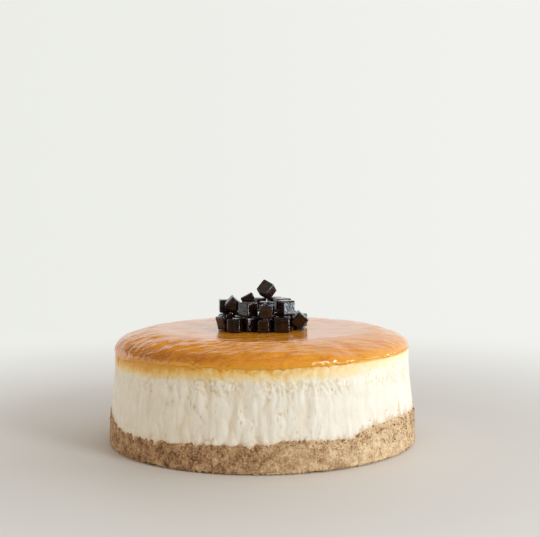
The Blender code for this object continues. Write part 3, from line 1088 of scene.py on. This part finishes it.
@dataclass(frozen=True)
class GlazeLip:
    """The lower edge of the browned glaze, round the shoulder."""

    front: Readings = (
        (-73, 43.4), (-63, 43.8), (-51, 44.6), (-42, 45.0), (-28, 45.7), (-17, 45.9), (-6, 45.5),
        (4, 45.2), (14, 45.7), (25, 46.2), (38, 46.8), (48, 47.1), (64, 47.2), (76, 46.6),
    )
    back: Readings = ((120, 45.6), (165, 46.5), (210, 45.2), (250, 44.6))
    noise: Noise = field(default_factory=lambda: Noise(12))

    def height(self, angle: np.ndarray) -> np.ndarray:
        """The lip's height: read off the photo at the front, made up at the back, with small runs down."""
        base = joined_readings(angle, self.front + self.back)
        spots = round_axis(73.0 * MM, 0.0, angle)
        runs = self.noise.smooth(spots, 3.4 * MM)
        small = self.noise.smooth(spots, 1.7 * MM)
        apart, value = self.noise.cells(spots, 2.9 * MM)
        drips = (0.2 + 0.8 * value) * smooth_step(0.62, 0.05, apart)
        return base + (0.95 - 1.3 * np.maximum(runs, 0.0) - 0.4 * small - 1.8 * drips) * MM


@dataclass(frozen=True)
class Dip:
    """A shallow oval place in the glaze: its middle, its half sizes, how it is turned, and its depth."""

    x: float
    y: float
    along: float
    across: float
    turn: float
    depth: float


@dataclass
class AmberGlaze:
    """The browned top under its glaze: a thin skin with a rounded lip, brushed across in long strokes."""

    form: CakeForm
    lip: GlazeLip
    columns: int = 700
    rows: int = 134
    thickness: float = 0.35 * MM
    lip_round: float = 2.2 * MM
    sunk_in: float = 0.25 * MM
    lip_start: float = 0.5 * MM
    hole: float = 1.2 * MM
    bead: float = 0.025 * MM
    noise: Noise = field(default_factory=lambda: Noise(31))
    dips: tuple[Dip, ...] = (
        Dip(43.0 * MM, -55.0 * MM, 13.0 * MM, 3.6 * MM, math.radians(-42.0), 0.70 * MM),
        Dip(-33.5 * MM, -16.5 * MM, 3.0 * MM, 1.6 * MM, 0.0, 0.16 * MM),
    )

    def strokes(self, spots: np.ndarray) -> np.ndarray:
        """Brush strokes: noise drawn out along the stroke's way, in three widths.

        Args:
            spots: Points on the top.

        Returns:
            The relief.
        """
        along, across = rotated(spots[..., 0], spots[..., 1], STROKE_TURN)
        bent = across + 0.8 * MM * self.noise.smooth(spots, 14.0 * MM)
        frame = np.stack([along, bent, spots[..., 2]], axis=-1)
        wide = self.noise.smooth(frame, (20.0 * MM, 7.0 * MM, 7.0 * MM))
        middle = self.noise.smooth(frame + 0.4, (11.0 * MM, 2.7 * MM, 2.7 * MM))
        narrow = self.noise.smooth(frame + 0.9, (6.0 * MM, 1.3 * MM, 1.3 * MM))
        rim = 0.34 + 0.66 * smooth_step(44.0 * MM, 58.0 * MM, np.hypot(spots[..., 0], spots[..., 1]))
        rim = rim * (0.62 + 0.95 * smooth_step(5.0 * MM, 55.0 * MM, -spots[..., 1]))
        calm = 1.0 - 0.45 * near_angle(np.arctan2(spots[..., 0], -spots[..., 1]), Region.RIGHT.value, 45.84)
        return (0.34 * wide + 0.36 * middle + 0.13 * narrow) * rim * calm * MM

    def sunk(self, spots: np.ndarray) -> np.ndarray:
        """The dips: each one a bell over an oval."""
        total = np.zeros(spots.shape[:-1])
        for dip in self.dips:
            along, across = rotated(spots[..., 0] - dip.x, spots[..., 1] - dip.y, dip.turn)
            total += dip.depth * np.exp(-((along / dip.along) ** 2) - (across / dip.across) ** 2)
        return total

    def surface(self) -> Surface:
        """The closed skin: its underside from the middle out to the lip, then over the lip and back in.

        The lip comes out of the cream as a flat arch: thickness times s (2 - s), with s the share of the way
        over the rounding.

        Returns:
            The surface.
        """
        outline = Outline(self.form)
        angle = column_angles(self.columns)
        start = self.lip.height(angle) - self.lip_start - self.form.shoulder_height
        share = np.linspace(0.0, 1.0, self.rows)[:, None] ** 1.25
        width = outline.end - self.hole - start
        inwards = share * width
        arc = start + inwards
        turned = np.broadcast_to(angle, arc.shape)
        over = np.clip(inwards / self.lip_round, 0.0, 1.0)
        rounding = over * (2.0 - over)
        spots = round_axis(*outline.at(arc), turned)
        calm = smooth_step(0.0, 4.0 * MM, inwards)
        relief = self.strokes(spots) * (0.25 + 0.75 * calm) - self.sunk(spots)
        beaded = self.bead * near_angle(angle, Region.RIGHT.value, 30.0)
        bead = beaded * np.exp(-((inwards / MM - 0.9) / 0.7) ** 2)
        radius, height = outline.at(arc, self.thickness * rounding + relief * rounding + bead - self.sunk_in)
        under = np.array([1.0, 0.6, 0.2, 0.03, 0.004])[:, None]
        depth = -0.35 * MM - 0.75 * MM * smooth_step(0.05, 0.15, under)
        under_r, under_z = outline.at(start + under * width, depth)
        rings = [round_axis(under_r, under_z, angle[None]), round_axis(radius, height, turned)]
        plain = np.zeros((len(under), self.columns))
        thick = 1.0 - smooth_step(0.2, 3.4, inwards / MM)
        marks = {
            "thick": np.concatenate([plain, thick]),
            "baked": np.concatenate([plain, self.baking(spots, turned)]),
        }
        middle = float(outline.at(outline.end)[1])
        crown = middle + self.thickness - self.sunk_in
        return turned_surface(np.concatenate(rings), middle - 1.1 * MM, crown, marks)

    def baking(self, spots: np.ndarray, angle: np.ndarray) -> np.ndarray:
        """How brown the skin is: patchy, most on the shoulder at the front left and at the back."""
        patches = 0.5 + 0.5 * self.noise.smooth(spots, 16.0 * MM)
        left = near_angle(angle, Region.LEFT.value + 5.73, 66.0)
        back = 0.7 * near_angle(angle, Region.BACK.value, 60.0)
        rim = smooth_step(63.0 * MM, 71.5 * MM, np.hypot(spots[..., 0], spots[..., 1]))
        return np.clip(0.22 * patches + 0.62 * rim * np.maximum(left, back), 0.0, 1.0)

    def build(self, finish: bpy.types.Material) -> bpy.types.Object:
        """Makes the glaze."""
        return self.surface().make("amber_glaze", finish)


@dataclass
class JellyCube:
    """One cube of the heap: a box with rounded edges and slightly bowed faces, placed where its solid is."""

    node: bpy.types.Object
    rounding: float = 0.70 * MM
    uneven: float = 0.10 * MM
    sag: float = 0.05 * MM
    inside: float = 0.985
    noise: Noise = field(default_factory=lambda: Noise(47))

    def pose(self) -> tuple[np.ndarray, np.ndarray, np.ndarray]:
        """Reads the solid's middle, half edges and axes off its faces.

        The first axis is the way that its largest face looks, the second that of the largest face square
        to it.

        Returns:
            Middle, half edges and axes (one to a row).
        """
        mesh = self.node.data
        places = np.empty(len(mesh.vertices) * 3, np.float32)
        mesh.vertices.foreach_get("co", places)
        places = places.reshape(-1, 3).astype(float)
        ways, areas = np.empty(len(mesh.polygons) * 3, np.float32), np.empty(len(mesh.polygons), np.float32)
        mesh.polygons.foreach_get("normal", ways)
        mesh.polygons.foreach_get("area", areas)
        ways = ways.reshape(-1, 3).astype(float)
        first = ways[np.argmax(areas)]
        square = np.where(np.abs(ways @ first) < 0.02, areas, 0.0)
        second = ways[np.argmax(square)]
        second = second - first * (first @ second)
        axes = np.stack([first, second / np.linalg.norm(second), np.cross(first, second)])
        axes[2] /= np.linalg.norm(axes[2])
        along = places @ axes.T
        low, high = along.min(axis=0), along.max(axis=0)
        return ((low + high) / 2.0) @ axes, (high - low) / 2.0, axes

    def surface(self, steps: int = 13) -> Surface:
        """Six face grids drawn onto a rounded box: the nearest point of the inner box plus the rounding.

        Args:
            steps: Grid lines across a face.

        Returns:
            The closed surface.
        """
        middle, half, axes = self.pose()
        line = np.sin(np.linspace(-0.5, 0.5, steps) * np.pi)
        u, v = (grid.ravel() for grid in np.meshgrid(line, line, indexing="ij"))
        sides, one = [], np.ones_like(u)
        for axis in range(3):
            for sign in (-1.0, 1.0):
                face = np.empty((len(u), 3))
                face[:, axis], face[:, (axis + 1) % 3], face[:, (axis + 2) % 3] = sign * one, u * sign, v
                sides.append(face)
        unit = np.concatenate(sides)
        box = unit * half
        core = np.clip(box, -(half - self.rounding), half - self.rounding)
        away = box - core
        reach = np.linalg.norm(away, axis=1, keepdims=True)
        local = core + away / reach * self.rounding
        edge = np.sort(np.abs(unit), axis=1)[:, 1]
        spots = local @ axes + middle
        bow = self.uneven * self.noise.smooth(spots, 4.5 * MM) - self.sag * (1.0 - edge**2)
        local = local + away / reach * bow[:, None]
        local = local * np.min(half / np.abs(local).max(axis=0)) * self.inside
        grid = np.arange(steps * steps).reshape(steps, steps)
        cell = np.stack([grid[:-1, :-1], grid[1:, :-1], grid[1:, 1:], grid[:-1, 1:]], axis=-1).reshape(-1, 4)
        quads = np.concatenate([cell + side * steps * steps for side in range(6)])
        keys = np.round(unit * 1e5).astype(int)
        _, first, index = np.unique(keys, axis=0, return_index=True, return_inverse=True)
        points = (local @ axes + middle)[first]
        quads = index.ravel()[quads]
        middles = points[quads].mean(axis=1) - middle
        corners = points[quads]
        normal = np.cross(corners[:, 2] - corners[:, 0], corners[:, 3] - corners[:, 1])
        turned = np.sum(middles * normal, axis=1) < 0.0
        quads[turned] = quads[turned][:, ::-1]
        return Surface(points, quads, np.empty((0, 3), int))

    def build(self, finish: bpy.types.Material) -> bpy.types.Object:
        """Makes the cube, which stands for its solid."""
        made = self.surface().make(self.node.name.replace("jelly_cube", "jelly"), finish)
        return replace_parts(made, self.node.name)


@dataclass
class HeapSyrupAndGapShade:
    """Dark syrup that fills the gaps between the cubes of the heap, and stands in for the shade in those gaps
    as a dark fill.
    """

    middles: np.ndarray
    layer_split: float = 60.0 * MM
    reach: float = 24.0 * MM
    low: float = 53.9 * MM
    buried: float = 0.5 * MM
    first_rise: float = 6.0 * MM
    second_rise: float = 5.5 * MM
    bell: float = 3.5 * MM
    columns: int = 120
    rows: int = 56

    def rise(self, spots: np.ndarray, middles: np.ndarray) -> np.ndarray:
        """Where the gaps are, 0 to 1: an S over the sum of the bells that stand on the cubes' middles."""
        apart = np.linalg.norm(spots[..., None, :2] - middles[:, :2], axis=-1)
        return smooth_step(0.45, 0.85, np.exp(-((apart / self.bell) ** 2)).sum(axis=-1))

    def surface(self) -> Surface:
        """The closed mound: one step for the cubes of the first layer and one for those that lie on them."""
        angle = column_angles(self.columns)
        share = np.linspace(1.0, 0.01, self.rows)[:, None]
        flat = round_axis(share * self.reach, self.low, angle[None])
        first = self.middles[:, 2] < self.layer_split
        rise = self.first_rise * self.rise(flat, self.middles[first])
        rise = rise + self.second_rise * self.rise(flat, self.middles[~first])
        raised = flat.copy()
        raised[..., 2] += rise
        foot = self.low - self.buried
        rings = [round_axis(self.reach, foot, angle)[None], raised]
        return turned_surface(np.concatenate(rings), foot, float(raised[-1, :, 2].mean()), {})

    def build(self, finish: bpy.types.Material) -> bpy.types.Object:
        """Makes the syrup and the dark fill that stands in for shade in the gaps."""
        return self.surface().make("heap_syrup_and_gap_shade", finish)


@dataclass(frozen=True)
class Studio:
    """A pale floor and backdrop, soft light from the right, a dim left, and a sky that the gloss reflects."""

    backdrop_left: Colour = (0.835, 0.845, 0.800)
    backdrop_right: Colour = (0.885, 0.890, 0.860)
    floor: Colour = (0.75, 0.73, 0.70)
    floor_radius: float = 0.46
    floor_columns: int = 96

    def sky(self) -> None:
        """Lights the scene all round: bright low at the back and the right, dim overhead and at the left.

        The bars are seen by glossy rays only. They make the bright edge lines of the cubes.
        """
        world = bpy.context.scene.world or bpy.data.worlds.new("studio")
        bpy.context.scene.world = world
        world.use_nodes = True
        tree = Tree(world.node_tree)
        back = world.node_tree.nodes["Background"]
        way = tree.node("ShaderNodeTexCoord", {}, {}, "Generated")
        split = tree.node("ShaderNodeSeparateXYZ", {}, {0: way})
        right, ahead, up = (Value(tree, split.socket.node.outputs[i]) for i in range(3))
        low = 1.0 - (up - right * 0.55).smooth(0.655, 0.72)
        wall = ahead.smooth(-0.15, 0.30) * (low * (right * 0.22 + 0.82) - 0.36)
        level = 1.0 - up.smooth(0.22, 0.34)
        glossy = tree.ray("Is Glossy Ray")
        bars = (ahead * 3.2 + 0.75).fraction().smooth(0.42, 0.50) * (1.0 - up.smooth(-0.04, 0.05))
        bars = bars * (1.0 - ahead.smooth(0.40, 0.50))
        window = right.smooth(0.70, 0.78) * level * (0.72 - glossy * 0.62)
        window = window + right.smooth(0.47, 0.55) * glossy * bars * 16.0
        card = (0.0 - right).smooth(0.62, 0.82) * (1.0 - up.smooth(0.25, 0.50)) * 0.80
        dark = (0.0 - ahead).smooth(0.45, 0.80) * (1.0 - up.smooth(0.12, 0.45)) * 0.42
        base = 0.50 - dark
        extra = wall + window + card
        warm = right.smooth(0.75, -0.35) * (1.0 - ahead.smooth(-0.2, 0.3))
        seen = tree.ray("Is Camera Ray")
        red, blue = base * (warm * 0.24 + 1.0), base * (1.0 - warm * 0.28)
        grey = tree.node("ShaderNodeCombineColor", {}, {0: red + extra, 1: base + extra, 2: blue + extra})
        seen_wall = tree.mix(right.smooth(-0.3, 0.3), self.backdrop_left, self.backdrop_right)
        tree.feed(back.inputs["Color"], tree.mix(seen, grey, seen_wall))

    def ground(self) -> bpy.types.Object:
        """The floor: a round sheet, plain near the cake and fading to the backdrop's colour far off.

        Returns:
            The floor, which isn't part of the object.
        """
        made, tree, shader = new_finish("studio_floor")
        shader.inputs["Base Color"].default_value = (*self.floor, 1.0)
        shader.inputs["Roughness"].default_value = 0.6
        spot = tree.node("ShaderNodeTexCoord", {}, {}, "Object")
        away = tree.node("ShaderNodeVectorMath", {"operation": "LENGTH"}, {0: spot}, "Value")
        split = tree.node("ShaderNodeSeparateXYZ", {}, {0: spot})
        far = tree.mix(split.smooth(-0.45, 0.45), self.backdrop_left, self.backdrop_right)
        glow = tree.node("ShaderNodeEmission", {}, {"Color": far, "Strength": 1.0})
        base = Value(tree, shader.outputs[0])
        both = tree.node("ShaderNodeMixShader", {}, {0: away.smooth(0.06, 0.42), 1: base, 2: glow})
        tree.feed(made.node_tree.nodes["Material Output"].inputs["Surface"], both)
        ring = round_axis(self.floor_radius, 0.0, column_angles(self.floor_columns))
        points = np.concatenate([ring, [[0.0, 0.0, 0.0]]])
        here = np.arange(len(ring))
        fans = np.stack([np.full(len(ring), len(ring)), here, np.roll(here, -1)], axis=-1)
        floor = Surface(points, np.empty((0, 4), int), fans).make("studio_floor", made)
        return floor

    def lamp(self, name: str, place: Colour, size: tuple[float, float], power: float, tint: Colour) -> None:
        """A flat soft lamp that looks at the cake.

        Args:
            name: What it is called.
            place: Where it stands.
            size: Its width and height.
            power: Its power in watts.
            tint: Its colour.
        """
        data = bpy.data.lights.new(name, "AREA")
        data.shape, data.size, data.size_y = "RECTANGLE", *size
        data.energy, data.color = power, tint
        made = bpy.data.objects.new(name, data)
        back = np.array(place) / np.linalg.norm(place)
        side = np.cross((0.0, 0.0, 1.0), back)
        side /= np.linalg.norm(side)
        axes = np.stack([side, np.cross(back, side), back], axis=1)
        made.matrix_world = Matrix.Translation(place) @ Matrix(axes.tolist()).to_4x4()
        bpy.context.scene.collection.objects.link(made)

    def build(self) -> None:
        """Sets up the sky, the floor, the lamps and the picture's tones."""
        self.sky()
        self.ground()
        self.lamp("window_right", (0.745, -0.69, 0.50), (0.28, 0.28), 5.0, (0.92, 0.96, 1.0))
        self.lamp("strip_right", (1.05, -0.12, 0.13), (0.06, 0.36), 1.3, (0.93, 0.97, 1.0))
        bpy.context.scene.view_settings.view_transform = "Standard"


@dataclass(frozen=True)
class Viewpoint:
    """The camera, fitted to the outlines of the cake and of what it stands on."""

    place: Colour = (0.01305, -0.5220, 0.12054)
    pan: float = 0.01682
    tilt: float = -0.06885
    roll: float = -0.00627
    lens: float = 70.0

    def build(self) -> None:
        """Makes the scene's camera."""
        data = bpy.data.cameras.new("viewpoint")
        data.lens, data.sensor_width = self.lens, 36.0
        made = bpy.data.objects.new("viewpoint", data)
        turn = Matrix.Rotation(self.pan, 4, "Z") @ Matrix.Rotation(math.pi / 2 + self.tilt, 4, "X")
        made.matrix_world = Matrix.Translation(self.place) @ turn @ Matrix.Rotation(self.roll, 4, "Z")
        bpy.context.scene.collection.objects.link(made)
        bpy.context.scene.camera = made


def main() -> None:
    """Builds the cake's looks over its solids, class by class."""
    logging.basicConfig(level=logging.INFO, format="%(name)s: %(message)s")
    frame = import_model()
    form, lip = CakeForm(), GlazeLip()
    line = LayerLine(frame["nodes"]["crumb_base"])
    crumb, cream = CrumbFinish().build(), CreamFinish().build()
    glaze, jelly = GlazeFinish().build(), JellyFinish().build()
    pieces = [(piece, "baked_crumb") for piece in CrumbBase(form, line).build(crumb)]
    pieces.append((Cream(form, line, lip).build(cream), "set_cream"))
    pieces.append((AmberGlaze(form, lip).build(glaze), "set_cream"))
    names = sorted(name for name in frame["nodes"] if name.startswith("jelly_cube"))
    cubes = [JellyCube(frame["nodes"][name]) for name in names]
    pieces += [(cube.build(jelly), "dark_jelly") for cube in cubes]
    middles = np.array([cube.pose()[0] for cube in cubes])
    # Dark syrup in the heap's gaps, which also stands in for the shade there.
    pieces.append((HeapSyrupAndGapShade(middles).build(jelly), "dark_jelly"))
    for piece, slot in pieces:
        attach(piece, "root")
        LOG.info("%s: %d faces", piece.name, len(piece.data.polygons))
    Studio().build()
    Viewpoint().build()


if __name__ == "__main__":
    main()
